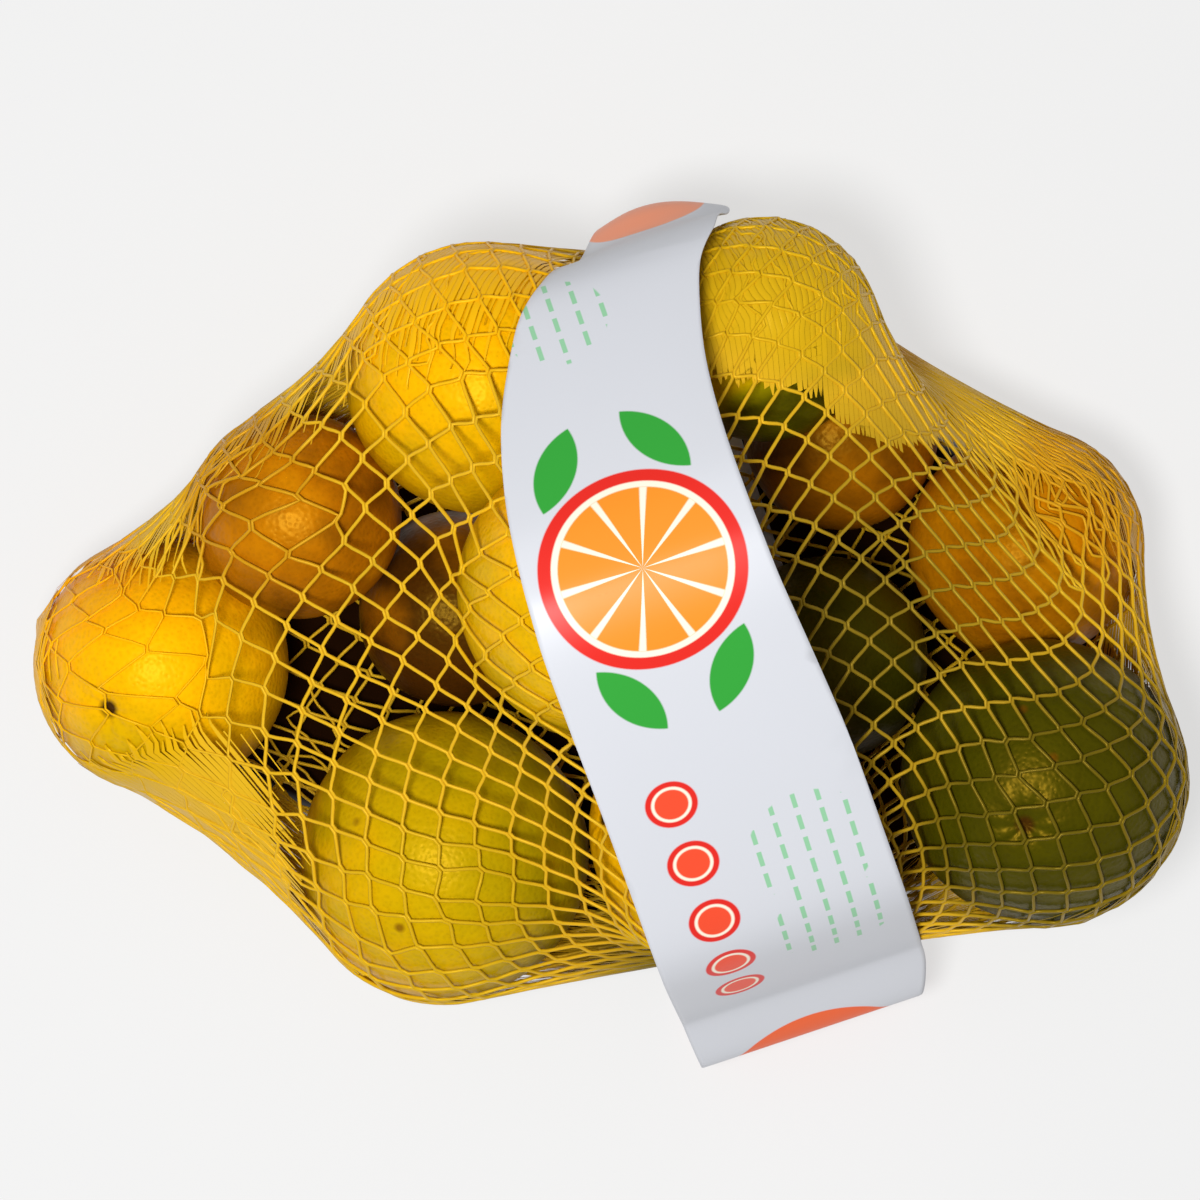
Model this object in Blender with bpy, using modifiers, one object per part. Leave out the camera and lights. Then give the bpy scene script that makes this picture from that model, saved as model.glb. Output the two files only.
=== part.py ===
"""A net of oranges lying on its side, with a film label band, in metres, +Z up.

Twelve oranges of uneven size lie in two nestled layers. A tubular net is gathered into a clip at
both ends, at the far side (+Y) and the near side (-Y), and is stretched over them. A loose band
of white film runs from the far clip over the heap, round the near side and back underneath.
The origin is on the floor, under the middle of the whole.
"""

import math

import bmesh
import bpy
import numpy as np
from mathutils import Vector
from mathutils.bvhtree import BVHTree

# Each orange: its middle (x, y, z) and its radius. The names say where it lies in the heap.
ORANGES = {
    "left_tip": (-0.1155, -0.0065, 0.0338, 0.0328),
    "far_left_low": (-0.0790, 0.0315, 0.0560, 0.0265),
    "far_left_high": (-0.0325, 0.0655, 0.0640, 0.0340),
    "top": (-0.0020, 0.0120, 0.0930, 0.0360),
    "near_middle": (0.0283, -0.0475, 0.0580, 0.0345),
    "far_right_high": (0.0387, 0.0775, 0.0660, 0.0280),
    "right": (0.1074, 0.0242, 0.0310, 0.0300),
    "near_right": (0.1096, -0.0356, 0.0530, 0.0365),
    "near_left": (-0.0425, -0.0555, 0.0385, 0.0375),
    "core_right": (0.0560, -0.0050, 0.0290, 0.0270),
    "core_far_right": (0.0600, 0.0540, 0.0270, 0.0260),
    "core_left": (-0.0400, 0.0080, 0.0270, 0.0260),
}

# The net: cells round the tube, rows of cells from clip to clip, and the strands' thickness.
CELLS_ROUND = 52
CELL_ROWS = 34
JUNCTION_SHARE = 0.28  # the part of a row's pitch that its junction bars take
FAR_BUNCHING = 0.6  # how much the cells crowd to both sides of the band near the far gather
STRAND = 0.0010
CELL_DEPTH = 0.0008  # how far a cell's middle lies below its strands, where an orange fills it
HOLLOW_SHARE = 0.30  # where none does, the most that it sinks towards the net's other side
HOLLOW_ASPECT = 2.2  # and the most for the cell's own width
HOLLOW_ROUNDNESS = 0.45  # and for the radius at which the net curves there
HOLLOW_FROM_GATHER = 0.035  # and it starts this far from a gather
FAR_GATHER = (0.0140, 0.0960, 0.0340)
FAR_GATHER_WAY = (0.05, 0.45, -0.89)
NEAR_GATHER = (0.0500, -0.0800, 0.0280)
NEAR_GATHER_WAY = (-0.20, -0.80, -0.60)
GATHER_RADIUS = 0.0050
HOOP_PULL = 0.7  # the pull round the tube, where the pull along it is 1
BRIDGE_HOOP_PULL = 0.1
BRIDGE_STEPS = 400
COARSE_STEPS = 700  # relaxing steps, first on a coarse grid of points and then on a finer one
FINE_STEPS = 300
START_RADII = (0.190, 0.150, 0.110)  # the slack net before it is pulled tight: x, y, z
TAIL = (  # beyond a gather: how far on, radius, and how deep the pleats are
    (0.0006, 0.0036, 0.0),
    (0.0062, 0.0036, 0.0),
    (0.0100, 0.0050, 0.0006),
    (0.0150, 0.0060, 0.0010),
)

# The clips are metal rings round the gathered net.
CLIP_START = 0.0011  # beyond the gather
CLIP_LENGTH = 0.0044
CLIP_INNER_RADIUS = 0.0040
CLIP_OUTER_RADIUS = 0.0058
CLIP_ROUNDING = 0.0007
CLIP_STEPS = 24

# The band: a strip of film, seen from its edge as a loop from the far clip over the heap and back.
BAND_TURN = math.radians(18.5)  # from straight over the heap, as seen from above
BAND_FILM = 0.0005
BAND_CLEARANCE = 0.0011
BAND_FAR_TOP = ((-0.0960, 0.0370), (-0.1015, 0.0430), (-0.1030, 0.0500), (-0.1010, 0.0580))
BAND_FOOTPRINT = (  # distance along, then what the film can touch: from left to right
    (-0.097, 0.024, 0.067),
    (-0.088, 0.009, 0.060),
    (-0.080, -0.001, 0.053),
    (-0.058, -0.013, 0.047),
    (-0.025, -0.017, 0.045),
    (0.000, -0.019, 0.046),
    (0.115, -0.018, 0.053),
)
BAND_LOWEST_TOUCH = (0.066, 0.040)  # on the far side and on the near side
BAND_FOLD = ((0.1110, 0.0290), (0.1150, 0.0230), (0.1110, 0.0130))
BAND_BOTTOM = ((0.0900, 0.00029), (-0.0600, 0.00029), (-0.0790, 0.0205))
BAND_SAMPLE = 0.0015
BAND_SMOOTHING = 8  # rounds that take the corners off the loop
BAND_LONGEST = 0.013  # the longest facet of the film, and the sharpest turn between two
BAND_SHARPEST = 0.24
BAND_PARTS = 4  # across the film
BAND_BOW = 18.0  # how the far end bows out, in metres for each square metre from its middle
BAND_BOW_MIDDLE = 0.042
BAND_BOW_FADE = (-0.305, -0.275)
BAND_EDGES = (  # distance from the fold's tip, over the heap being -, then left and right edge
    (-0.319, 0.036, 0.052),
    (-0.296, 0.027, 0.064),
    (-0.265, 0.012, 0.057),
    (-0.252, 0.002, 0.049),
    (-0.226, -0.0092, 0.0430),
    (-0.205, -0.0134, 0.0418),
    (-0.186, -0.0154, 0.0418),
    (-0.166, -0.0164, 0.0428),
    (-0.146, -0.0160, 0.0450),
    (-0.118, -0.0152, 0.0478),
    (-0.060, -0.0145, 0.0500),
    (-0.016, -0.0135, 0.0515),
    (0.000, -0.0126, 0.0475),
    (0.010, -0.0126, 0.0500),
    (0.040, -0.0120, 0.0500),
    (0.160, -0.0050, 0.0500),
    (0.205, 0.0360, 0.0520),
)
FLOOR_MARGIN = 0.012  # the net stands clear of the film under it this far beyond its edges


def unit(vector):
    return np.asarray(vector, float) / np.linalg.norm(vector)


def clear_scene():
    for old in list(bpy.data.objects):
        bpy.data.objects.remove(old, do_unlink=True)


def gather_ring(middle, way, angles):
    """The ring where all strands meet in a clip, square to the way that it points."""
    way = unit(way)
    side = unit(np.cross(way, (0.0, 0.0, 1.0)))
    if side[0] < 0:
        side = -side
    top = np.cross(side, way)
    if top[2] < 0:
        top = -top
    ring = np.outer(np.cos(angles), side) + np.outer(np.sin(angles), top)
    return np.asarray(middle) + GATHER_RADIUS * ring


def slack_net(columns, levels):
    """A grid of points on a wide ellipsoid round the heap, indexed [level, column]."""
    angles = 2 * math.pi * np.arange(columns) / columns
    downs = math.pi * np.arange(levels) / (levels - 1)
    width, length, height = START_RADII
    grid = np.empty((levels, columns, 3))
    grid[:, :, 0] = width * np.outer(np.sin(downs), np.cos(angles))
    grid[:, :, 1] = length * np.outer(np.cos(downs), np.ones(columns))
    grid[:, :, 2] = height * np.outer(np.sin(downs), np.sin(angles)) + height / 2
    return grid


def band_frame(points):
    """How far along the band and how far across it each point lies."""
    along = points[..., 0] * math.sin(BAND_TURN) - points[..., 1] * math.cos(BAND_TURN)
    across = points[..., 0] * math.cos(BAND_TURN) + points[..., 1] * math.sin(BAND_TURN)
    return along, across


def floor_under(points):
    """The height that the net rests on: the floor, or the film of the band under it."""
    _, across = band_frame(points)
    lefts = [left for _, left, _ in BAND_EDGES]
    rights = [right for _, _, right in BAND_EDGES]
    over = (across > min(lefts) - FLOOR_MARGIN) & (across < max(rights) + FLOOR_MARGIN)
    return np.where(over, BAND_FILM + 0.0004, 0.0)


def push_off_oranges(grid):
    for x, y, z, radius in ORANGES.values():
        away = grid - (x, y, z)
        reach = np.linalg.norm(away, axis=-1)
        short = reach < radius + STRAND
        grid[short] += away[short] * ((radius + STRAND) / reach[short] - 1)[:, None]
    grid[..., 2] = np.maximum(grid[..., 2], floor_under(grid))


def even_levels(grid):
    """Spaces each column's points evenly along it."""
    levels = grid.shape[0]
    steps = np.linalg.norm(np.diff(grid, axis=0), axis=2)
    along = np.vstack([np.zeros(grid.shape[1]), np.cumsum(steps, axis=0)])
    for column in range(grid.shape[1]):
        wanted = np.linspace(0, along[-1, column], levels)
        for axis in range(3):
            grid[:, column, axis] = np.interp(wanted, along[:, column], grid[:, column, axis])


def normals(grid):
    """The outward way at each inner point of the grid."""
    along = grid[2:] - grid[:-2]
    across = np.roll(grid, -1, axis=1)[1:-1] - np.roll(grid, 1, axis=1)[1:-1]
    outward = np.cross(across, along)
    return outward / np.linalg.norm(outward, axis=2, keepdims=True)


def pull(grid, hoop_pull):
    """One relaxing step's move of each inner point, as the pull of its four neighbours."""
    middle = hoop_pull * (np.roll(grid, 1, axis=1) + np.roll(grid, -1, axis=1))[1:-1]
    middle += grid[:-2] + grid[2:]
    return 0.7 * (middle / (2 + 2 * hoop_pull) - grid[1:-1])


def pull_tight(grid, steps, start, end):
    """Relaxes the grid like a stretched net, while its two ends are drawn in to the clips."""
    columns = grid.shape[1]
    angles = 2 * math.pi * np.arange(columns) / columns
    far = gather_ring(FAR_GATHER, FAR_GATHER_WAY, angles)
    near = gather_ring(NEAR_GATHER, NEAR_GATHER_WAY, angles)
    far_out = unit(FAR_GATHER_WAY) * 0.06
    near_out = unit(NEAR_GATHER_WAY) * 0.06
    for step in range(steps):
        drawn = min(1.0, start + (end - start) * 2 * step / steps)
        grid[0] = far + far_out * (1 - drawn)
        grid[-1] = near + near_out * (1 - drawn)
        grid[1:-1] += pull(grid, HOOP_PULL)
        push_off_oranges(grid[1:-1])
        if step % 5 == 4:
            even_levels(grid)
            push_off_oranges(grid[1:-1])


def straighten_lengthwise(grid):
    """Tightens the strands between oranges, where they bridge a gap, without sliding them."""
    for _ in range(BRIDGE_STEPS):
        outward = normals(grid)
        move = pull(grid, BRIDGE_HOOP_PULL)
        grid[1:-1] += (move * outward).sum(axis=2, keepdims=True) * outward
        push_off_oranges(grid[1:-1])


def refine(grid):
    """Doubles the grid both ways, with the new points half way between the old ones."""
    levels, columns, _ = grid.shape
    wide = np.empty((levels, 2 * columns, 3))
    wide[:, 0::2] = grid
    wide[:, 1::2] = (grid + np.roll(grid, -1, axis=1)) / 2
    fine = np.empty((2 * levels - 1, 2 * columns, 3))
    fine[0::2] = wide
    fine[1::2] = (wide[:-1] + wide[1:]) / 2
    return fine


def tight_net():
    """The stretched net as a fine grid with two columns to each cell round it."""
    grid = slack_net(CELLS_ROUND, 37)
    pull_tight(grid, COARSE_STEPS, 0.0, 1.0)
    grid = refine(grid)
    pull_tight(grid, FINE_STEPS, 1.0, 1.0)
    straighten_lengthwise(grid)
    return grid


def cell_corners(grid):
    """The two ends of each junction bar, indexed [row, end, cell]; odd rows stand half a cell on."""
    columns = grid.shape[1]
    steps = np.linalg.norm(np.diff(grid, axis=0), axis=2)
    along = np.vstack([np.zeros(columns), np.cumsum(steps, axis=0)])

    def on_column(column, share):
        wanted = share * along[-1, column]
        return np.array([np.interp(wanted, along[:, column], grid[:, column, axis]) for axis in range(3)])

    corners = np.empty((CELL_ROWS, 2, CELLS_ROUND, 3))
    for row in range(CELL_ROWS):
        for end, side in ((0, -0.5), (1, 0.5)):
            share = (row + 0.5 + side * JUNCTION_SHARE) / CELL_ROWS
            for cell in range(CELLS_ROUND):
                angle = 2 * math.pi * (cell + row % 2 / 2) / CELLS_ROUND
                angle -= FAR_BUNCHING / 2 * (1 - share) * math.sin(2 * angle)
                place = angle / (2 * math.pi) * columns
                before = math.floor(place)
                part = place - before
                corners[row, end, cell] = (1 - part) * on_column(before % columns, share)
                corners[row, end, cell] += part * on_column((before + 1) % columns, share)
    push_off_oranges(corners)
    return corners


def net_mesh(corners):
    """Joins the bars into six-sided cells, closes both gathers and sinks each cell's middle."""
    shape = bmesh.new()
    points = [
        [[shape.verts.new(corners[row, end, cell]) for cell in range(CELLS_ROUND)] for end in (0, 1)]
        for row in range(CELL_ROWS)
    ]
    cells = []
    for row in range(CELL_ROWS):
        # A cell lies between two bars of its row, its tips being bars of the rows before and after.
        for cell in range(CELLS_ROUND):
            other = (cell + 1) % CELLS_ROUND
            tip = (cell + row % 2) % CELLS_ROUND
            ring = [points[row][0][cell], points[row][1][cell]]
            if row < CELL_ROWS - 1:
                ring.append(points[row + 1][0][tip])
            ring += [points[row][1][other], points[row][0][other]]
            if row > 0:
                ring.append(points[row - 1][1][tip])
            cells.append(shape.faces.new(ring))
    draw_tail(shape, points[0][0], FAR_GATHER, FAR_GATHER_WAY)
    draw_tail(shape, points[-1][1], NEAR_GATHER, NEAR_GATHER_WAY)
    bmesh.ops.recalc_face_normals(shape, faces=shape.faces)
    outer = BVHTree.FromBMesh(shape)
    deepest = [deepest_hollow(cell) for cell in cells]
    middles = bmesh.ops.poke(shape, faces=cells, offset=-CELL_DEPTH, center_mode="MEAN")["verts"]
    shape.normal_update()
    inward = [-middle.normal for middle in middles]
    for middle, way, most in zip(middles, inward, deepest):
        middle.co += hollow_depth(middle.co, way, outer, most) * way
    return new_mesh("net", shape)


def deepest_hollow(cell):
    """The most that a cell may sink and stay clear of its neighbours."""
    middle = cell.calc_center_median()
    from_gather = min((middle - Vector(gather)).length for gather in (FAR_GATHER, NEAR_GATHER))
    width = math.sqrt(cell.calc_area())
    turns = [cell.normal.angle(other.normal) for edge in cell.edges for other in edge.link_faces]
    roundness = width / max(*turns, 0.01)
    return min(HOLLOW_ASPECT * width, HOLLOW_ROUNDNESS * roundness, from_gather - HOLLOW_FROM_GATHER)


def hollow_depth(middle, inward, outer, most):
    """How far a cell's middle sinks to reach the orange under it, or into the hollow between some."""
    depths = [most]
    for x, y, z, radius in ORANGES.values():
        to_orange = Vector((x, y, z)) - middle
        ahead = to_orange.dot(inward)
        aside = to_orange.length_squared - ahead**2
        if ahead > 0 and aside < radius**2:
            depths.append(ahead - math.sqrt(radius**2 - aside))
    thickness = outer.ray_cast(middle + 2 * CELL_DEPTH * inward, inward)[3]
    if thickness:
        depths.append(HOLLOW_SHARE * thickness)
    return max(0.0, min(depths))


def draw_tail(shape, ring, gather, way):
    """Carries the ring of strands on through the clip and flares it behind it, in pleats."""
    way = Vector(unit(way))
    gather = Vector(gather)
    outward = [(point.co - gather - way * (point.co - gather).dot(way)).normalized() for point in ring]
    for forward, radius, pleat in TAIL:
        after = [
            shape.verts.new(gather + way * forward + side * (radius + (-pleat if index % 2 else pleat)))
            for index, side in enumerate(outward)
        ]
        for index, point in enumerate(after):
            shape.faces.new((ring[index - 1], ring[index], point, after[index - 1]))
        ring = after
    end = shape.faces.new(ring)
    bmesh.ops.poke(shape, faces=[end])


def new_mesh(name, shape):
    mesh = bpy.data.meshes.new(name)
    shape.to_mesh(mesh)
    shape.free()
    mesh.shade_smooth()
    return mesh


def clip_section():
    """Half the section of a clip, as a loop of edges that starts down its outer side."""
    inner, outer = CLIP_INNER_RADIUS, CLIP_OUTER_RADIUS
    near, far = CLIP_START, CLIP_START + CLIP_LENGTH
    loop = (
        (outer, far - CLIP_ROUNDING),
        (outer, near + CLIP_ROUNDING),
        (outer - CLIP_ROUNDING, near),
        (inner, near),
        (inner, far),
        (outer - CLIP_ROUNDING, far),
    )
    shape = bmesh.new()
    corners = [shape.verts.new((radius, 0.0, height)) for radius, height in loop]
    for index, corner in enumerate(corners):
        shape.edges.new((corners[index - 1], corner))
    return shape


def upper_outline(points):
    """The upper side of the tightest line round points (along, height), from the far side."""
    chain = []
    for along, height in sorted(points):
        while len(chain) > 1:
            (a, b), (c, d) = chain[-2:]
            if (c - a) * (height - b) < (d - b) * (along - a):
                break
            chain.pop()
        chain.append((along, height))
    return np.array(chain)


def over_the_heap(net_mesh):
    """The band's line where it is stretched over the net, (along, height)."""
    ends = np.array([[net_mesh.vertices[index].co for index in edge.vertices] for edge in net_mesh.edges])
    shares = np.linspace(0, 1, 6)[:, None, None]
    points = (ends[:, 0] * (1 - shares) + ends[:, 1] * shares).reshape(-1, 3)
    along, across = band_frame(points)
    places, lefts, rights = np.array(BAND_FOOTPRINT).T
    under = across > np.interp(along, places, lefts)
    under &= across < np.interp(along, places, rights)
    under &= points[:, 2] > np.where(along < 0, *BAND_LOWEST_TOUCH)
    chain = upper_outline(zip(along[under], points[under, 2]))
    steps = np.gradient(chain, axis=0)
    outward = np.stack([-steps[:, 1], steps[:, 0]], axis=1)
    return chain + BAND_CLEARANCE * outward / np.linalg.norm(outward, axis=1, keepdims=True)


def band_line(net_mesh):
    """The whole loop of the band from its end over the far clip, (along, height), without corners."""
    line = np.vstack([BAND_FAR_TOP, over_the_heap(net_mesh), BAND_FOLD, BAND_BOTTOM])
    arc = distances(line)
    even = np.arange(0, arc[-1], BAND_SAMPLE)
    line = np.stack([np.interp(even, arc, line[:, axis]) for axis in (0, 1)], axis=1)
    for _ in range(BAND_SMOOTHING):
        line[1:-1] += (line[:-2] + line[2:] - 2 * line[1:-1]) / 4
    return line


def distances(line):
    """How far along the line each of its points is."""
    return np.concatenate([[0.0], np.cumsum(np.linalg.norm(np.diff(line, axis=0), axis=1))])


def band_mesh(net_mesh):
    """A sheet of level rulings along the band's line, closer together where it bends."""
    line = band_line(net_mesh)
    arc = distances(line)
    tip = arc[line[:, 0].argmax()]
    steps = np.diff(line, axis=0)
    ways = np.unwrap(np.arctan2(steps[:, 1], steps[:, 0]))
    turned = np.concatenate([[0.0], np.cumsum(np.abs(np.diff(ways))), [0.0]])
    turned[-1] = turned[-2]
    effort = arc / BAND_LONGEST + turned / BAND_SHARPEST
    places = np.interp(np.linspace(0, effort[-1], math.ceil(effort[-1]) + 1), effort, arc)
    edge_places, lefts, rights = np.array(BAND_EDGES).T
    shape = bmesh.new()
    rows = []
    for place in places:
        along = np.interp(place, arc, line[:, 0])
        height = np.interp(place, arc, line[:, 1])
        left = np.interp(place - tip, edge_places, lefts)
        right = np.interp(place - tip, edge_places, rights)
        bow = BAND_BOW * np.interp(place - tip, BAND_BOW_FADE, (1.0, 0.0))
        row = []
        for across in np.linspace(left, right, BAND_PARTS + 1):
            bowed = along + bow * (across - BAND_BOW_MIDDLE) ** 2
            x = bowed * math.sin(BAND_TURN) + across * math.cos(BAND_TURN)
            y = across * math.sin(BAND_TURN) - bowed * math.cos(BAND_TURN)
            row.append(shape.verts.new((x, y, height)))
        rows.append(row)
    for before, after in zip(rows, rows[1:]):
        for part in range(BAND_PARTS):
            shape.faces.new((before[part], after[part], after[part + 1], before[part + 1]))
    return new_mesh("band", shape)


def add_object(mesh, colour, roughness, metallic=0.0):
    added = bpy.data.objects.new(mesh.name, mesh)
    collection.objects.link(added)
    material = bpy.data.materials.new(mesh.name)
    material.use_nodes = True
    shader = material.node_tree.nodes["Principled BSDF"]
    shader.inputs["Base Color"].default_value = (*colour, 1.0)
    shader.inputs["Roughness"].default_value = roughness
    shader.inputs["Metallic"].default_value = metallic
    mesh.materials.append(material)
    return added


def add_clip(name, gather, way):
    """A metal ring, turned from its section, round the gathered net."""
    clip = add_object(new_mesh(name, clip_section()), (0.7, 0.7, 0.72), 0.3, metallic=1.0)
    turning = clip.modifiers.new("turning", "SCREW")
    turning.steps = CLIP_STEPS
    turning.render_steps = CLIP_STEPS
    turning.merge_threshold = 0.00001
    clip.location = gather
    clip.rotation_mode = "QUATERNION"
    clip.rotation_quaternion = Vector((0, 0, 1)).rotation_difference(Vector(unit(way)))
    return clip


def centre(objects, outline):
    """Moves the whole so that the origin is under the middle of the outline's objects."""
    points = np.array([point.co for item in outline for point in item.data.vertices])
    middle = (points.min(axis=0) + points.max(axis=0)) / 2
    for item in objects:
        item.location.x -= middle[0]
        item.location.y -= middle[1]


clear_scene()
collection = bpy.data.collections.new("net_of_oranges")
bpy.context.scene.collection.children.link(collection)

net = add_object(net_mesh(cell_corners(tight_net())), (0.80, 0.42, 0.02), 0.4)
far_clip = add_clip("far_clip", FAR_GATHER, FAR_GATHER_WAY)
near_clip = add_clip("near_clip", NEAR_GATHER, NEAR_GATHER_WAY)
band = add_object(band_mesh(net.data), (0.80, 0.79, 0.84), 0.35)
film = band.modifiers.new("film", "SOLIDIFY")
film.thickness = BAND_FILM
film.offset = 0.0
film.use_even_offset = True
centre([net, far_clip, near_clip, band], [net, band])
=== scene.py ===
import math

import bmesh
import bpy
import numpy as np
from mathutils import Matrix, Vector, noise


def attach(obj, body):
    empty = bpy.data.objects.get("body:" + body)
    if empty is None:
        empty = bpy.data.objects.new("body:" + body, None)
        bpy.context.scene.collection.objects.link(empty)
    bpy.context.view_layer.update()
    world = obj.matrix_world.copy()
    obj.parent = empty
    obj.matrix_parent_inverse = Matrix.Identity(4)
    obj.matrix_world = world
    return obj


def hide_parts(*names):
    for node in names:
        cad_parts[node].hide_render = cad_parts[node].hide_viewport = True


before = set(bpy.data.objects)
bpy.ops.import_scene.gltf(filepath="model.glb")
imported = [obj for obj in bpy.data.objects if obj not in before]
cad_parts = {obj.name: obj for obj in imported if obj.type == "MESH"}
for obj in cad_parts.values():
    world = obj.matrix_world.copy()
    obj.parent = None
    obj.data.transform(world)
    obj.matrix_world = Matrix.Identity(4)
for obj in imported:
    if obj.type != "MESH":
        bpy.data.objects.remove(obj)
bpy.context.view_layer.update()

# THE ORANGES. Twelve fresh oranges of uneven size and ripeness, lying in two nestled layers.
# Each is a ball with shallow lumps, a dished stem end with its small dry button, and a dot at
# the other end. They lie where the net's solid was shaped round them.
HEAP_SHIFT = Vector((0.000963, 0.000053, 0.0))  # from the heap's own middle to the whole's
ORANGES = {  # middle (x, y, z), radius, ripeness, its drift (x, y, z), way of the stem end
    "left_tip": ((-0.1155, -0.0065, 0.0338), 0.0328, 0.70, (0.0, 0.11, -0.02), (-0.355, -0.34, 0.87)),
    "far_left_low": ((-0.0790, 0.0315, 0.0560), 0.0265, 0.93, (0.0, 0.0, 0.0), (-0.7, 0.6, -0.4)),
    "far_left_high": ((-0.0325, 0.0655, 0.0640), 0.0340, 0.63, (0.0, 0.04, 0.03), (0.3, 0.8, -0.5)),
    "top": ((-0.0020, 0.0120, 0.0930), 0.0360, 0.60, (0.0, 0.05, 0.04), (0.8, 0.1, 0.6)),
    "near_middle": ((0.0283, -0.0475, 0.0580), 0.0345, 0.68, (0.0, 0.14, 0.0), (-0.93, 0.10, 0.35)),
    "far_right_high": ((0.0387, 0.0775, 0.0660), 0.0280, 0.57, (0.0, 0.0, 0.0), (0.1, 0.5, -0.8)),
    "right": ((0.1074, 0.0242, 0.0310), 0.0300, 0.90, (0.0, 0.0, 0.0), (0.9, 0.3, -0.3)),
    "near_right": ((0.1096, -0.0356, 0.0530), 0.0365, 0.19, (0.0, 0.0, -0.03), (-0.21, -0.28, 0.94)),
    "near_left": ((-0.0425, -0.0555, 0.0385), 0.0375, 0.56, (-0.06, -0.02, -0.04), (0.2, -0.9, -0.3)),
    # The three core oranges lie deep in the heap. Their ripeness picks the ramp's darkest colours,
    # which are painted shade, and far_left_low's brown is partly painted shade too.
    "core_right": ((0.0560, -0.0050, 0.0290), 0.0270, 0.12, (0.0, 0.0, 0.0), (0.3, 0.4, -0.8)),
    "core_far_right": ((0.0600, 0.0540, 0.0270), 0.0260, 0.955, (-0.05, 0.0, 0.0), (-0.4, 0.2, -0.8)),
    "core_left": ((-0.0400, 0.0080, 0.0270), 0.0260, 1.00, (0.0, 0.0, 0.0), (-0.5, -0.5, -0.6)),
}
GREEN_AND_SHADED_SIDE = Vector((0.30, -0.90, 0.10)).normalized()  # of far_right_high: partly its own green patch, partly painted shade of the dark place below it
GREEN_AND_SHADED_SIDE_EDGE = (0.50, 0.72)  # cosines from that way, between which the green and the painted shade come in
GREENED_AND_SHADED_BY = 0.38  # of ripeness
FRUIT_SEGMENTS = 96
FRUIT_RINGS = 60
LUMP_DEPTH = 0.0009
STEM_DISH = 0.0018  # depth
STEM_DISH_SPREAD = 0.13  # angles, in radians from the stem end, here and below
BLOSSOM_DOT = 0.0006  # depth
BLOSSOM_DOT_SPREAD = 0.05
PLEATS = 9
PLEAT_HEIGHT = 0.00016
PLEATS_AT = 0.20
PLEATS_SPREAD = 0.12


def linear(hex_colour):
    """An sRGB hex colour as linear red, green, blue and 1."""
    parts = [int(hex_colour[place:place + 2], 16) / 255 for place in (0, 2, 4)]
    return (*((p / 12.92 if p <= 0.04045 else ((p + 0.055) / 1.055) ** 2.4) for p in parts), 1.0)


def new_material(name):
    material = bpy.data.materials.new(name)
    material.use_nodes = True
    return material, material.node_tree, material.node_tree.nodes["Principled BSDF"]


def add_node(tree, kind, inputs=(), **settings):
    """Adds a shader node, sets it, and fills its sockets with values or with others' outputs."""
    made = tree.nodes.new("ShaderNode" + kind)
    for name, value in settings.items():
        setattr(made, name, value)
    for socket, value in dict(inputs).items():
        if isinstance(value, bpy.types.NodeSocket):
            tree.links.new(value, made.inputs[socket])
        else:
            made.inputs[socket].default_value = value
    return made


def paint_ramp(ramp_node, colours):
    """Sets a colour ramp's stops from shares and hex colours."""
    stops = ramp_node.color_ramp.elements
    while len(stops) < len(colours):
        stops.new(0.5)
    for stop, (share, colour) in zip(stops, colours):
        stop.position = share
        stop.color = linear(colour)


def ranged(tree, value, start, end, low=0.0, high=1.0, **settings):
    """A value taken from one range to another and held at its ends."""
    sockets = {"Value": value, "From Min": start, "From Max": end, "To Min": low, "To Max": high}
    return add_node(tree, "MapRange", sockets, **settings).outputs["Result"]


def mixed(tree, share, under, over, **settings):
    """One colour over another, by a share."""
    sockets = {0: share, 6: under, 7: over}
    return add_node(tree, "Mix", sockets, data_type="RGBA", **settings).outputs[2]


def give_values(piece, name, values):
    """A number for each point of a piece's mesh, for its material to read."""
    piece.data.attributes.new(name, "FLOAT", "POINT").data.foreach_set("value", values)


def place_in_scene(name, shape, material):
    """Makes a smooth object at the origin of a finished bmesh, riding on the part."""
    mesh = bpy.data.meshes.new(name)
    shape.to_mesh(mesh)
    shape.free()
    mesh.shade_smooth()
    mesh.materials.append(material)
    made = bpy.data.objects.new(name, mesh)
    bpy.context.scene.collection.objects.link(made)
    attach(made, "root")
    return made


fruit_middles = np.array([place for place, *_ in ORANGES.values()]) + HEAP_SHIFT
fruit_radii = np.array([radius for _, radius, *_ in ORANGES.values()])
fruit_ripeness = np.array([ripeness for _, _, ripeness, *_ in ORANGES.values()])
fruit_drifts = np.array([drift for _, _, _, drift, _ in ORANGES.values()])
fruit_stems = [Vector(stem) for *_, stem in ORANGES.values()]
fruit_numbers = {name: number for number, name in enumerate(ORANGES)}

ball_shape = bmesh.new()
bmesh.ops.create_uvsphere(ball_shape, u_segments=FRUIT_SEGMENTS, v_segments=FRUIT_RINGS, radius=1.0)
ball = bpy.data.meshes.new("ball")
ball_shape.to_mesh(ball)
ball_shape.free()
directions = np.empty(len(ball.vertices) * 3)
ball.vertices.foreach_get("co", directions)
directions = directions.reshape(-1, 3)
from_stem = np.arccos(directions[:, 2].clip(-1, 1))
round_stem = np.arctan2(directions[:, 1], directions[:, 0])


def ripeness_at(numbers, ways):
    """How ripe the peel is where it faces in these ways, for one fruit or one for each way. The green
    side of far_right_high is partly painted shade.
    """
    ripe = fruit_ripeness[numbers] + (ways * fruit_drifts[numbers]).sum(axis=-1)
    greened_and_shaded = np.interp(ways @ np.array(GREEN_AND_SHADED_SIDE), GREEN_AND_SHADED_SIDE_EDGE, (0.0, GREENED_AND_SHADED_BY))
    return ripe - greened_and_shaded * (numbers == fruit_numbers["far_right_high"])


def bump(angles, middle, spread):
    """A round rise of 1 at an angle, which dies away to both sides."""
    return np.exp(-(((angles - middle) / spread) ** 2))


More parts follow.
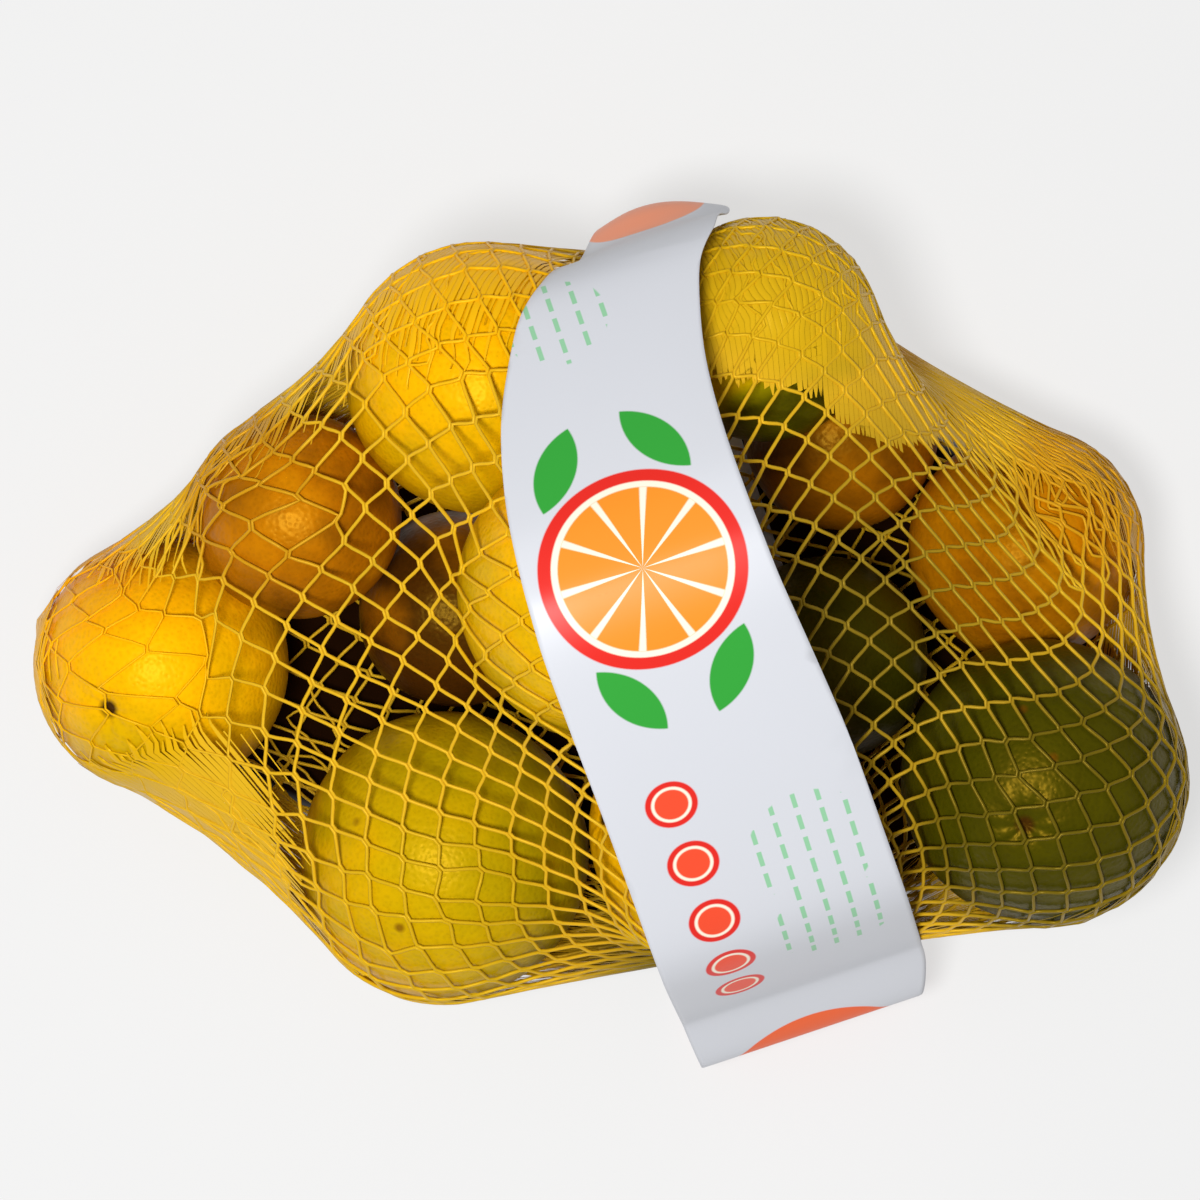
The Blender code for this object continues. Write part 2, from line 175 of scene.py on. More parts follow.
fruit_shape = bmesh.new()
ripeness_values, stem_values = [], []
for number, middle in enumerate(fruit_middles):
    turn = np.array(Vector((0, 0, 1)).rotation_difference(fruit_stems[number]).to_matrix())
    ways = directions @ turn.T
    # Three slow waves in different ways make its lumps.
    lumps = sum(
        np.sin(ways @ np.array((2.1 * k, -1.7, 2.6 - k)) + 1.9 * number + 2.3 * k) for k in (1, 2, 3)
    )
    reach = fruit_radii[number] - LUMP_DEPTH * (0.5 + lumps / 6)
    reach -= STEM_DISH * bump(from_stem, 0.0, STEM_DISH_SPREAD)
    reach -= BLOSSOM_DOT * bump(from_stem, math.pi, BLOSSOM_DOT_SPREAD)
    # Shallow pleats run out from the stem end.
    pleats = bump(from_stem, PLEATS_AT, PLEATS_SPREAD) * np.sin(PLEATS * round_stem + number)
    reach += PLEAT_HEIGHT * pleats
    ball.vertices.foreach_set("co", (middle + ways * reach[:, None]).ravel())
    fruit_shape.from_mesh(ball)
    ripeness_values.append(ripeness_at(number, ways))
    stem_values.append(from_stem * fruit_radii[number])
bpy.data.meshes.remove(ball)

# Fresh citrus peel: a waxed, oily skin, so a soft broad shine over fine round pores about
# 1 mm apart, and a colour that drifts from green through yellow to deep orange as it ripens.
peel, peel_tree, peel_shader = new_material("fresh_orange_peel")
# The ramp's darkest ends, near-black green and dark brown, are painted shade for the oranges deep in
# the heap.
PEEL_COLOURS_AND_PAINTED_SHADE = (
    (0.00, "242402"), (0.20, "454202"), (0.42, "8C8002"), (0.56, "C29E02"),
    (0.70, "F6B402"), (0.82, "E29402"), (0.92, "B46C02"), (1.00, "4A2804"),
)
BLOTCHES = 0.22  # of ripeness
place = add_node(peel_tree, "TexCoord").outputs["Object"]
ripe = add_node(peel_tree, "Attribute", attribute_name="ripeness")
blotches = add_node(peel_tree, "TexNoise", {"Vector": place, "Scale": 45.0, "Detail": 3.0})
drifted = add_node(
    peel_tree,
    "Math",
    {0: blotches.outputs["Fac"], 1: BLOTCHES, 2: -BLOTCHES / 2},
    operation="MULTIPLY_ADD",
)
ripe_here = add_node(
    peel_tree, "Math", {0: ripe.outputs["Fac"], 1: drifted.outputs[0]}, operation="ADD"
)
ripe_and_shaded_colour = add_node(peel_tree, "ValToRGB", {"Fac": ripe_here.outputs[0]})
paint_ramp(ripe_and_shaded_colour, PEEL_COLOURS_AND_PAINTED_SHADE)
pores = add_node(peel_tree, "TexVoronoi", {"Vector": place, "Scale": 850.0}, feature="SMOOTH_F1")
pore_shade = ranged(peel_tree, pores.outputs["Distance"], 0.0, 0.5, low=0.86)
shaded = mixed(peel_tree, 1.0, ripe_and_shaded_colour.outputs["Color"], pore_shade, blend_type="MULTIPLY")
speck_cells = add_node(peel_tree, "TexVoronoi", {"Vector": place, "Scale": 38.0}, feature="F1")
specks = ranged(peel_tree, speck_cells.outputs["Distance"], 0.03, 0.07, low=0.75, high=0.0)
speckled = mixed(peel_tree, specks, shaded, linear("6A3A04"))
stem_distance = add_node(peel_tree, "Attribute", attribute_name="from_stem")
stem_mark = ranged(peel_tree, stem_distance.outputs["Fac"], 0.0016, 0.0032, low=1.0, high=0.0)
marked = mixed(peel_tree, stem_mark, speckled, linear("3A2004"))
pits = add_node(
    peel_tree,
    "Bump",
    {"Height": pores.outputs["Distance"], "Strength": 0.35, "Distance": 0.0004},
)
peel_tree.links.new(marked, peel_shader.inputs["Base Color"])
peel_tree.links.new(pits.outputs["Normal"], peel_shader.inputs["Normal"])
peel_shader.inputs["Roughness"].default_value = 0.36
peel_shader.inputs["IOR"].default_value = 1.45
peel_shader.inputs["Specular IOR Level"].default_value = 0.40
peel_shader.inputs["Specular Tint"].default_value = linear("FFC83C")
oranges = place_in_scene("oranges", fruit_shape, peel)
give_values(oranges, "ripeness", np.concatenate(ripeness_values))
give_values(oranges, "from_stem", np.concatenate(stem_values))
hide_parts("net")

# THE NETTING. A tube of extruded plastic net, stretched over the fruit and gathered in a clip at
# both ends. Its strands run from end to end in zigzags, each welded in turn to the neighbour on
# its left and on its right. They lie on the surface that the ridges of the net's solid make.
STRAND = 0.0010
NET_CELLS_ROUND = 56
NET_ROWS = 52
WELD_ENDS = (0.36, 0.64)  # of a row's length
WELD_OFFSET = 0.42  # of its thickness: how far aside each of the two strands lies, so they fuse
SIDE_STEP = 0.2  # of a mesh, to tell which way is sideways
BEND_POINTS = (0, 2)  # more points along a weld, and from one weld to the next
RESTS_AT = 0.55  # of a strand's thickness, from the peel to its middle
SOLID_CELLS_ROUND = 52  # its meshes are somewhat larger
NET_SOLID_MERGE = 0.000005  # points this near each other are one
FLOOR_GAP = 0.00004
FAR_GATHER = np.array((0.0140, 0.0960, 0.0340)) + HEAP_SHIFT
FAR_GATHER_WAY = np.array(Vector((0.05, 0.45, -0.89)).normalized())
NEAR_GATHER = np.array((0.0500, -0.0800, 0.0280)) + HEAP_SHIFT
NEAR_GATHER_WAY = np.array(Vector((-0.20, -0.80, -0.60)).normalized())
TAIL_RINGS = 4  # rings of the solid between each end's cap and the net
FAR_RIM_WITHIN = 0.02  # of the far gather
# How far past a gather and how wide each tail is where its strands bend.
TAIL_STATIONS = ((0.0012, 0.0033), (0.0058, 0.0033), (0.0100, 0.0048), (0.0150, 0.0064))
TAIL_UNEVENNESS = 0.1
TAIL_CORE = 0.15  # of the tail's radius, where its innermost strands run
BUNDLED_STRAND = 0.0007  # drawn thin where the clip holds them
BUNDLED_FROM_GATHER = (0.010, 0.030)  # where that ends
STRETCHED_STRAND = 0.0006  # and over the left tip, where the net is stretched hardest
STRETCHED_FROM_TIP = (0.035, 0.048)
# How much of the peel's colour the netting takes on where it lies on each orange.
TAKES_COLOUR = {"left_tip": 0.92, "far_left_high": 0.75, "near_right": 0.62, "near_middle": 0.7}
TAKES_COLOUR_ELSEWHERE = 0.52
TAKES_COLOUR_WITHIN = 0.004  # of the peel
AT_REACH = 0.25  # nearness to a place, for a point at its reach
NET_PAINTED_SHADE_PLACES = {  # middle (x, y, z), reach: painted shade, where the netting is darkened over the heap's deep hollows
    "over_the_right_hollow": ((0.058, 0.004, 0.070), 0.062),
    "over_the_green_orange": ((0.104, -0.040, 0.080), 0.048),
    "over_the_left_hollow": ((-0.052, 0.020, 0.060), 0.030),
    "left_of_the_near_gather": ((0.012, -0.078, 0.030), 0.030),
}
NET_PAINTED_SHADE_STEEPNESS = 1.6


def linked(point):
    return {edge.other_vert(point) for edge in point.link_edges}


def cell_middles(shape):
    """The sunk middle of each mesh of the net, found from face to face, from the rim inwards."""
    rim_edge = next(edge for edge in shape.edges if edge.is_boundary)
    first = rim_edge.link_faces[0]
    middles = {first: next(point for point in first.verts if point not in rim_edge.verts)}
    waiting = [first]
    for face in waiting:
        for edge in face.edges:
            for other in set(edge.link_faces) - set(middles):
                apart = next(point for point in other.verts if point not in edge.verts)
                middles[other] = middles[face] if middles[face] in edge.verts else apart
                waiting.append(other)
    return set(middles.values())


net_solid = bmesh.new()
net_solid.from_mesh(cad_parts["net"].data)
bmesh.ops.remove_doubles(net_solid, verts=net_solid.verts, dist=NET_SOLID_MERGE)
ends = {point for point in net_solid.verts if len(point.link_edges) == SOLID_CELLS_ROUND}
for ring in range(TAIL_RINGS):
    ends |= set().union(*(linked(point) for point in ends))
bmesh.ops.delete(net_solid, geom=list(ends), context="VERTS")
middles = cell_middles(net_solid)

# The knots in rows from the far gather: a weld's far end, its near end, the next weld's far end.
far_rim = [
    point
    for point in {end for edge in net_solid.edges if edge.is_boundary for end in edge.verts}
    if (Vector(FAR_GATHER) - point.co).length < FAR_RIM_WITHIN
]
side_way = Vector(np.cross(FAR_GATHER_WAY, (1, 0, 0)))
up_way = Vector(np.cross(FAR_GATHER_WAY, side_way))


def bearing_at_gather(point):
    outward = point.co - Vector(FAR_GATHER)
    return math.atan2(outward.dot(side_way), outward.dot(up_way))


far_rim.sort(key=bearing_at_gather)
levels = [far_rim]
known = set(far_rim) | middles
while True:
    last = levels[-1]
    if len(levels) % 2:
        following = [linked(point) - known for point in last]
    else:
        following = [
            (linked(point) & linked(last[(number + 1) % SOLID_CELLS_ROUND])) - known
            for number, point in enumerate(last)
        ]
    if not all(following):
        break
    levels.append([found.pop() for found in following])
    known |= set(levels[-1])
grid = np.array([[point.co[:] for point in level] for level in levels])
net_solid.free()


def level_places(rows):
    """How far along the net each end of its welds is, as shares of its length."""
    return (np.repeat(np.arange(rows), 2) + np.tile(WELD_ENDS, rows)) / rows


def on_level(level, around):
    place = (around * SOLID_CELLS_ROUND - level // 2 / 2) % SOLID_CELLS_ROUND
    before = np.floor(place).astype(int)
    part = (place - before)[:, None]
    after = (before + 1) % SOLID_CELLS_ROUND
    return grid[level, before % SOLID_CELLS_ROUND] * (1 - part) + grid[level, after] * part


def on_net(along, around):
    """Points of the net's surface, from shares of its length and of its girth."""
    level = np.interp(along, level_places(len(grid) // 2), np.arange(len(grid)))
    before = np.minimum(level.astype(int), len(grid) - 2)
    part = (level - before)[:, None]
    return on_level(before, around) * (1 - part) + on_level(before + 1, around) * part


def heights_over_fruit(points):
    """How high each point stands over each fruit."""
    return np.linalg.norm(points[:, None] - fruit_middles, axis=2) - fruit_radii


def clear_of_fruit(points, least):
    """Moves points out of the fruit and off the floor, to be no nearer than least."""
    for _ in range(2):
        heights = heights_over_fruit(points)
        nearest = heights.argmin(axis=1)
        lowest = heights.min(axis=1)
        away = points - fruit_middles[nearest]
        away /= np.linalg.norm(away, axis=1)[:, None]
        points = points + away * (least - lowest).clip(0, None)[:, None]
    points[:, 2] = points[:, 2].clip(least + FLOOR_GAP, None)
    return points


def rounded(corners, between):
    """A smooth line through corners, with so many points between each two of them."""
    corners = np.array(corners)
    padded = np.vstack([2 * corners[0] - corners[1], corners, 2 * corners[-1] - corners[-2]])
    line = []
    for number in range(len(corners) - 1):
        a, b, c, d = padded[number:number + 4]
        for step in range(between[number % len(between)] + 1):
            t = step / (between[number % len(between)] + 1)
            bend = (2 * a - 5 * b + 4 * c - d) * t * t + (3 * b - a - 3 * c + d) * t ** 3
            line.append(b + 0.5 * ((c - a) * t + bend))
    line.append(corners[-1])
    return np.array(line)


def strand_mesh(name, strands):
    """Round strands as one mesh: each is a line of points and the thickness at each of them."""
    curve = bpy.data.curves.new(name, "CURVE")
    curve.dimensions = "3D"
    curve.bevel_depth = 0.5
    curve.bevel_resolution = 1
    curve.use_fill_caps = True
    for line, thickness in strands:
        spline = curve.splines.new("POLY")
        spline.points.add(len(line) - 1)
        spline.points.foreach_set("co", np.column_stack([line, np.ones(len(line))]).ravel())
        spline.points.foreach_set("radius", thickness)
    carrier = bpy.data.objects.new(name, curve)
    bpy.context.scene.collection.objects.link(carrier)
    bpy.context.view_layer.update()
    graph = bpy.context.evaluated_depsgraph_get()
    mesh = bpy.data.meshes.new_from_object(carrier.evaluated_get(graph))
    bpy.data.objects.remove(carrier)
    bpy.data.curves.remove(curve)
    return mesh


def nearness(points, middles, reaches):
    """How near each point is to each place: 1 + AT_REACH at its middle, AT_REACH at its reach."""
    return 1 + AT_REACH - np.linalg.norm(points[:, None] - middles, axis=2) / reaches


def middles_of(places):
    return np.array([place for place, *_ in places.values()]) + HEAP_SHIFT


def reaches_of(places):
    return np.array([reach for _, reach, *_ in places.values()])


fruit_colour_taken = np.array([TAKES_COLOUR.get(name, TAKES_COLOUR_ELSEWHERE) for name in ORANGES])


def add_netting(name, shape, material):
    """A piece of netting. It also carries how near a fruit is and how ripe, for its colour."""
    points = np.array([point.co[:] for point in shape.verts])
    piece = place_in_scene(name, shape, material)
    heights = heights_over_fruit(points)
    nearest = heights.argmin(axis=1)
    away = points - fruit_middles[nearest]
    away /= np.linalg.norm(away, axis=1)[:, None]
    give_values(piece, "ripeness", ripeness_at(nearest, away))
    pressed = 1 - ((heights.min(axis=1) - STRAND) / TAKES_COLOUR_WITHIN).clip(0, 1)
    give_values(piece, "pressed", pressed * fruit_colour_taken[nearest])
    # Painted shade: how far each point lies inside a place where the netting is darkened.
    painted_shade = nearness(points, middles_of(NET_PAINTED_SHADE_PLACES), reaches_of(NET_PAINTED_SHADE_PLACES)).max(axis=1)
    give_values(piece, "painted_shade", (NET_PAINTED_SHADE_STEEPNESS * (painted_shade - AT_REACH)).clip(0, 1))
    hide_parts("net")
    return piece


def add_strands(name, strands, material):
    shape = bmesh.new()
    shape.from_mesh(strand_mesh(name, strands))
    add_netting(name, shape, material)


def scattered(number):
    """A share from 0 to 1 for each strand, with neighbours far apart."""
    return number * 0.618 % 1


def tail(start, gather, way, number):
    """A strand's points beyond a gather: through the clip, side by side with others, then apart."""
    outward = start - gather
    outward = outward - way * outward.dot(way)
    outward /= np.linalg.norm(outward)
    depth = TAIL_CORE + (1 - TAIL_CORE) * math.sqrt(scattered(number))
    uneven = 1 + TAIL_UNEVENNESS * noise.noise(Vector((3.1 * number, 5.0, gather[1] * 100)))
    return [
        gather + way * (forward * uneven) + outward * (reach * depth)
        for forward, reach in TAIL_STATIONS
    ]


# Polyethylene netting: yellow pigment in a translucent plastic, drawn hot, so it is smooth and
# waxy, catches small bright glints on its welds and takes on the colour of the fruit it touches.
netting, netting_tree, netting_shader = new_material("extruded_polyethylene_netting")
ripe = add_node(netting_tree, "Attribute", attribute_name="ripeness")
pressed = add_node(netting_tree, "Attribute", attribute_name="pressed")
fruit_colour = add_node(netting_tree, "ValToRGB", {"Fac": ripe.outputs["Fac"]})
paint_ramp(fruit_colour, PEEL_COLOURS_AND_PAINTED_SHADE)
# Painted shade: over the deep hollows the netting's yellow turns olive brown (7E6818).
painted_shade = add_node(netting_tree, "Attribute", attribute_name="painted_shade")
netting_colour_with_painted_shade = mixed(netting_tree, painted_shade.outputs["Fac"], linear("D6A81E"), linear("7E6818"))
strand_colour = mixed(
    netting_tree, pressed.outputs["Fac"], netting_colour_with_painted_shade, fruit_colour.outputs["Color"]
)
netting_tree.links.new(strand_colour, netting_shader.inputs["Base Color"])
netting_shader.inputs["Roughness"].default_value = 0.34
netting_shader.inputs["IOR"].default_value = 1.51
netting_shader.inputs["Specular IOR Level"].default_value = 0.40
netting_shader.inputs["Specular Tint"].default_value = linear("FFD460")

zigzags = []
places = level_places(NET_ROWS)
odd_rows = np.arange(len(places)) // 2 % 2
tail_points = len(TAIL_STATIONS) * 3 // 2  # at each end of a line, which stay in the clip
for number in range(2 * NET_CELLS_ROUND):
    side = 1 if number % 2 else -1
    around = (number // 2 + side * odd_rows / 2) / NET_CELLS_ROUND
    knots = on_net(places, around)
    weld_sides = np.where(odd_rows, -side, side)
    sideways = on_net(places, around + SIDE_STEP * weld_sides / NET_CELLS_ROUND) - knots
    sideways /= np.linalg.norm(sideways, axis=1)[:, None]
    knots += sideways * WELD_OFFSET * STRAND
    corners = (
        tail(knots[0], FAR_GATHER, FAR_GATHER_WAY, number)[::-1]
        + list(knots)
        + tail(knots[-1], NEAR_GATHER, NEAR_GATHER_WAY, number)
    )
    line = rounded(corners, BEND_POINTS)
    from_gather = np.minimum(
        np.linalg.norm(line - FAR_GATHER, axis=1), np.linalg.norm(line - NEAR_GATHER, axis=1)
    )
    from_tip = np.linalg.norm(line - fruit_middles[fruit_numbers["left_tip"]], axis=1)
    thickness = np.minimum(
        np.interp(from_gather, BUNDLED_FROM_GATHER, (BUNDLED_STRAND, STRAND)),
        np.interp(from_tip, STRETCHED_FROM_TIP, (STRETCHED_STRAND, STRAND)),
    )
    in_net = slice(tail_points, -tail_points)
    line[in_net] = clear_of_fruit(line[in_net], RESTS_AT * thickness[in_net])
    zigzags.append((line, thickness))
add_strands("net_strands_one_side", zigzags[:NET_CELLS_ROUND], netting)
add_strands("net_strands_other_side", zigzags[NET_CELLS_ROUND:], netting)

# Where the net is bunched, more of its strands lie side by side, some of them slack. They run
# lengthwise in between, and each joins a weld where the crowd thins out.
CROWDS = {  # middle (x, y, z), reach, the share of the slack strands that run there
    "over_the_far_left_orange": ((-0.050, 0.080, 0.075), 0.044, 0.4),
    "over_the_far_right_orange": ((0.045, 0.100, 0.075), 0.036, 1.0),
    "in_the_far_right_notch": ((0.085, 0.066, 0.040), 0.036, 1.1),
    "over_the_right_orange": ((0.112, 0.038, 0.050), 0.038, 0.8),
    "along_the_far_left_edge": ((-0.095, 0.045, 0.040), 0.042, 1.1),
    "along_the_near_left_edge": ((-0.085, -0.050, 0.025), 0.042, 1.3),
    "at_the_near_gather": ((0.040, -0.080, 0.030), 0.034, 0.6),
}
SLACK_ROUND = 260
SLACK_STRAND = 0.8 * STRAND
SLACK_SWAY = 0.25  # of a mesh
SHORTEST_SLACK = 4  # ends of welds


def runs_of(steps, shortest):
    """Splits rising numbers where one is skipped, and leaves out what is too short."""
    runs = np.split(steps, np.flatnonzero(np.diff(steps) > 1) + 1)
    return [run for run in runs if len(run) >= shortest]


crowd_middles, crowd_reaches = middles_of(CROWDS), reaches_of(CROWDS)
crowd_shares = np.array([share for _, _, share in CROWDS.values()])
slack_strands = []
for number in range(SLACK_ROUND):
    base = number / SLACK_ROUND
    waves = [noise.noise(Vector((number * 1.7, level * 0.35, 2.0))) for level in range(len(places))]
    around = base + SLACK_SWAY * np.array(waves) / NET_CELLS_ROUND
    spots = on_net(places, around)
    crowd = (crowd_shares * nearness(spots, crowd_middles, crowd_reaches)).max(axis=1)
    crowded = np.flatnonzero(crowd > AT_REACH + (1 - AT_REACH) * scattered(number))
    for run in runs_of(crowded, SHORTEST_SLACK):
        for end in (run[0], run[-1]):
            row_shift = end // 2 % 2 / 2
            weld = round(around[end] * NET_CELLS_ROUND - row_shift) + row_shift
            spots[end] = on_net(places[end:end + 1], np.array([weld / NET_CELLS_ROUND]))[0]
        line = clear_of_fruit(rounded(spots[run], (1,)), 0.5 * STRAND)
        slack_strands.append((line, np.full(len(line), SLACK_STRAND)))
add_strands("net_slack_strands", slack_strands, netting)

# Where the net is drawn together hardest, its strands lie flat side by side and close it. They
# part one by one at the edge of such a place.
CLOSED_PLACES = {  # middle (x, y, z), reach, how sharply the place ends
    "over_the_far_right_orange": ((0.040, 0.093, 0.075), 0.0325, 9.0),
    "beside_the_far_right_orange": ((0.063, 0.073, 0.066), 0.0270, 8.0),
    "in_the_far_right_notch": ((0.083, 0.066, 0.040), 0.034, 2.6),
    "beyond_the_right_orange": ((0.108, 0.055, 0.034), 0.032, 1.9),
    "right_of_the_right_orange": ((0.137, 0.030, 0.032), 0.027, 1.6),
    "between_the_right_oranges": ((0.138, 0.004, 0.032), 0.022, 1.6),
    "between_the_left_oranges": ((-0.100, -0.043, 0.030), 0.038, 3.0),
    "left_of_the_near_left_orange": ((-0.080, -0.068, 0.025), 0.032, 1.8),
    "beyond_the_left_tip": ((-0.113, 0.036, 0.035), 0.034, 1.8),
    "left_of_the_far_left_orange": ((-0.086, 0.058, 0.045), 0.035, 1.8),
    "beyond_the_far_left_orange": ((-0.060, 0.080, 0.055), 0.032, 1.6),
    "over_the_far_left_orange": ((-0.038, 0.092, 0.070), 0.037, 1.7),
    "left_of_the_left_tip": ((-0.151, -0.008, 0.030), 0.026, 1.8),
    "near_the_near_left_orange": ((-0.038, -0.093, 0.030), 0.025, 1.2),
    "left_of_the_near_gather": ((0.000, -0.084, 0.026), 0.027, 1.4),
    "right_of_the_near_gather": ((0.088, -0.073, 0.032), 0.024, 1.4),
    "right_of_the_near_right_orange": ((0.150, -0.018, 0.049), 0.026, 1.6),
    "beyond_the_near_right_orange": ((0.149, -0.053, 0.049), 0.026, 1.6),
    "near_the_near_right_orange": ((0.121, -0.078, 0.047), 0.026, 1.5),
}
FLAT_STRANDS_ROUND = 460
FLAT_STRAND_STEPS = 110
FLAT_STRAND_RISE = 0.3 * STRAND
FLAT_STRAND_SHARP = math.radians(95)  # between a strand's crowned top and its flat underside
FLAT_STRANDS_FROM = 0.008  # above the floor, as the net is open underneath
FLAT_STRANDS_ALONG = (0.008, 0.992)  # of the net's length
FLAT_STRAND_SIDES = ((-0.48, 0.0), (0.0, 1.0), (0.48, 0.0))  # place across it, height
FLAT_STRAND_REST = 0.35 * STRAND  # from the peel to its underside
LAST_PARTS_AT = 0.20  # how closed the net still is where its last strand parts from the others
FIRST_PARTS_EARLIER = 0.60
NARROWS_OVER = 0.5
NARROWEST = 0.25  # of its full width, where it parts
SHORTEST_FLAT = 3  # steps
closed_middles, closed_reaches = middles_of(CLOSED_PLACES), reaches_of(CLOSED_PLACES)
closed_shares = np.array([share for _, _, share in CLOSED_PLACES.values()])
flat_places = np.linspace(*FLAT_STRANDS_ALONG, FLAT_STRAND_STEPS)
flat_shape = bmesh.new()
for number in range(FLAT_STRANDS_ROUND):
    ridge = on_net(flat_places, np.full(FLAT_STRAND_STEPS, number / FLAT_STRANDS_ROUND))
    closed = (closed_shares * nearness(ridge, closed_middles, closed_reaches)).max(axis=1)
    least = LAST_PARTS_AT + FIRST_PARTS_EARLIER * scattered(number)
    width = ((closed - least) / NARROWS_OVER).clip(NARROWEST, 1)
    lines = []
    for across, rise in FLAT_STRAND_SIDES:
        line = on_net(flat_places, (number + across * width) / FLAT_STRANDS_ROUND)
        lines.append(clear_of_fruit(line, FLAT_STRAND_REST + FLAT_STRAND_RISE * rise))
    drawn = np.flatnonzero((closed > least) & (ridge[:, 2] > FLAT_STRANDS_FROM))
    for run in runs_of(drawn, SHORTEST_FLAT):
        rows = [[flat_shape.verts.new(line[step]) for line in lines] for step in run]
        for row, following in zip(rows, rows[1:]):
            for side in range(3):
                after = (side + 1) % 3
                flat_shape.faces.new((row[side], row[after], following[after], following[side]))
        flat_shape.faces.new(rows[0][::-1])
        flat_shape.faces.new(rows[-1])
bmesh.ops.recalc_face_normals(flat_shape, faces=flat_shape.faces)
flat_strands = add_netting("net_strands_drawn_together", flat_shape, netting)
flat_strands.data.set_sharp_from_angle(angle=FLAT_STRAND_SHARP)

# THE CLIPS. Short pieces of soft aluminium wire, crimped round the gathered net at both ends.
# They keep the form of the part's own rings, with their edges rounded.
CLIP_EDGE = 0.0003
SOLID_MERGE = 0.00002  # points this near each other are one
clip_metal, clip_tree, clip_shader = new_material("crimped_aluminium")
place = add_node(clip_tree, "TexCoord").outputs["Object"]
scratches = add_node(clip_tree, "TexNoise", {"Vector": place, "Scale": 900.0, "Detail": 4.0})
clip_roughness = ranged(clip_tree, scratches.outputs["Fac"], 0.0, 1.0, low=0.25, high=0.5)
clip_tree.links.new(clip_roughness, clip_shader.inputs["Roughness"])
clip_shader.inputs["Base Color"].default_value = linear("C9C9CC")
clip_shader.inputs["Metallic"].default_value = 1.0
for clip_name in ("far_clip", "near_clip"):
    clip_shape = bmesh.new()
    clip_shape.from_mesh(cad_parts[clip_name].data)
    bmesh.ops.remove_doubles(clip_shape, verts=clip_shape.verts, dist=SOLID_MERGE)
    bmesh.ops.join_triangles(
        clip_shape, faces=clip_shape.faces, angle_face_threshold=0.02, angle_shape_threshold=1.0
    )
    clip = place_in_scene(clip_name + "_metal", clip_shape, clip_metal)
    edges = clip.modifiers.new("edges", "BEVEL")
    edges.width = CLIP_EDGE
    edges.segments = 2
    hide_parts(clip_name)

# THE BAND. A strip of white printed film, laid loosely over the heap, round its near side in a
# soft fold and back underneath, with both ends caught in the far clip. It is cut from a roll, so
# its edges are straight and its print comes again along it.
BAND_TURN = math.radians(18.5)
BAND_MIDDLE = (0.005, 0.050)  # a point inside the loop: distance along, height
BAND_EDGE_ANGLE = 1.0  # radians, from which an edge stays sharp
BAND_EDGE_CREASE = 0.9
LOOP_OPENS_AT = -2.6  # radians about that point, where the band's two ends come near
LOOP_STEP = 0.05  # radians
UV_IN_A_METRE = 10  # units of the print's map
band_shape = bmesh.new()
band_shape.from_mesh(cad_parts["band"].data)
bmesh.ops.remove_doubles(band_shape, verts=band_shape.verts, dist=SOLID_MERGE)
bmesh.ops.join_triangles(
    band_shape, faces=band_shape.faces, angle_face_threshold=0.7, angle_shape_threshold=3.1
)
bmesh.ops.recalc_face_normals(band_shape, faces=band_shape.faces)
crease = band_shape.edges.layers.float.new("crease_edge")
for edge in band_shape.edges:
    if len(edge.link_faces) == 2 and edge.calc_face_angle() > BAND_EDGE_ANGLE:
        edge[crease] = BAND_EDGE_CREASE
carrier = bpy.data.objects.new("band", bpy.data.meshes.new("band"))
band_shape.to_mesh(carrier.data)
band_shape.free()
bpy.context.scene.collection.objects.link(carrier)
rounding = carrier.modifiers.new("rounding", "SUBSURF")
rounding.levels = rounding.render_levels = 2
bpy.context.view_layer.update()
graph = bpy.context.evaluated_depsgraph_get()
band_mesh = bpy.data.meshes.new_from_object(carrier.evaluated_get(graph))
bpy.data.objects.remove(carrier)
band_shape = bmesh.new()
band_shape.from_mesh(band_mesh)

# The distance round the loop from its top, worked out by the angle about a point inside it.
alongs, acrosses, heights = [], [], []
for point in band_shape.verts:
    x, y, z = point.co - HEAP_SHIFT
    alongs.append(x * math.sin(BAND_TURN) - y * math.cos(BAND_TURN))
    acrosses.append(x * math.cos(BAND_TURN) + y * math.sin(BAND_TURN))
    heights.append(z)
alongs, acrosses, heights = np.array(alongs), np.array(acrosses), np.array(heights)
angles = np.arctan2(heights - BAND_MIDDLE[1], alongs - BAND_MIDDLE[0])
angles = np.where(angles < LOOP_OPENS_AT, angles + 2 * math.pi, angles)
sectors = np.round(angles / LOOP_STEP).astype(int)
ring = np.array([
    [measure[sectors == sector].mean() for measure in (angles, alongs, heights)]
    for sector in np.unique(sectors)
])
travel = np.concatenate([[0.0], np.cumsum(np.hypot(np.diff(ring[:, 1]), np.diff(ring[:, 2])))])
travel -= np.interp(math.pi / 2, ring[:, 0], travel)
rounds = -np.interp(angles, ring[:, 0], travel)
print_layer = band_shape.loops.layers.uv.new("print")
for face in band_shape.faces:
    for loop in face.loops:
        number = loop.vert.index
        loop[print_layer].uv = (acrosses[number] * UV_IN_A_METRE, rounds[number] * UV_IN_A_METRE)


def disc(spot, middle, radius):
    """Where the print's spots lie in a disc: 1 inside, 0 outside. All in millimetres."""
    apart = add_node(film_tree, "VectorMath", {0: spot, 1: (*middle, 0.0)}, operation="DISTANCE")
    edges = (radius - INK_BLUR, radius + INK_BLUR)
    return ranged(film_tree, apart.outputs["Value"], *edges, low=1.0, high=0.0)


def both(one, other):
    return add_node(film_tree, "Math", {0: one, 1: other}, operation="MULTIPLY").outputs[0]


def leaf(spot, middle, degrees, length, width):
    """A leaf's outline is where two large discs overlap."""
    radius = (length * length + width * width) / (4 * width)
    turn = math.radians(degrees)
    aside = np.array((-math.sin(turn), math.cos(turn))) * (radius - width / 2)
    return both(disc(spot, middle + aside, radius), disc(spot, middle - aside, radius))


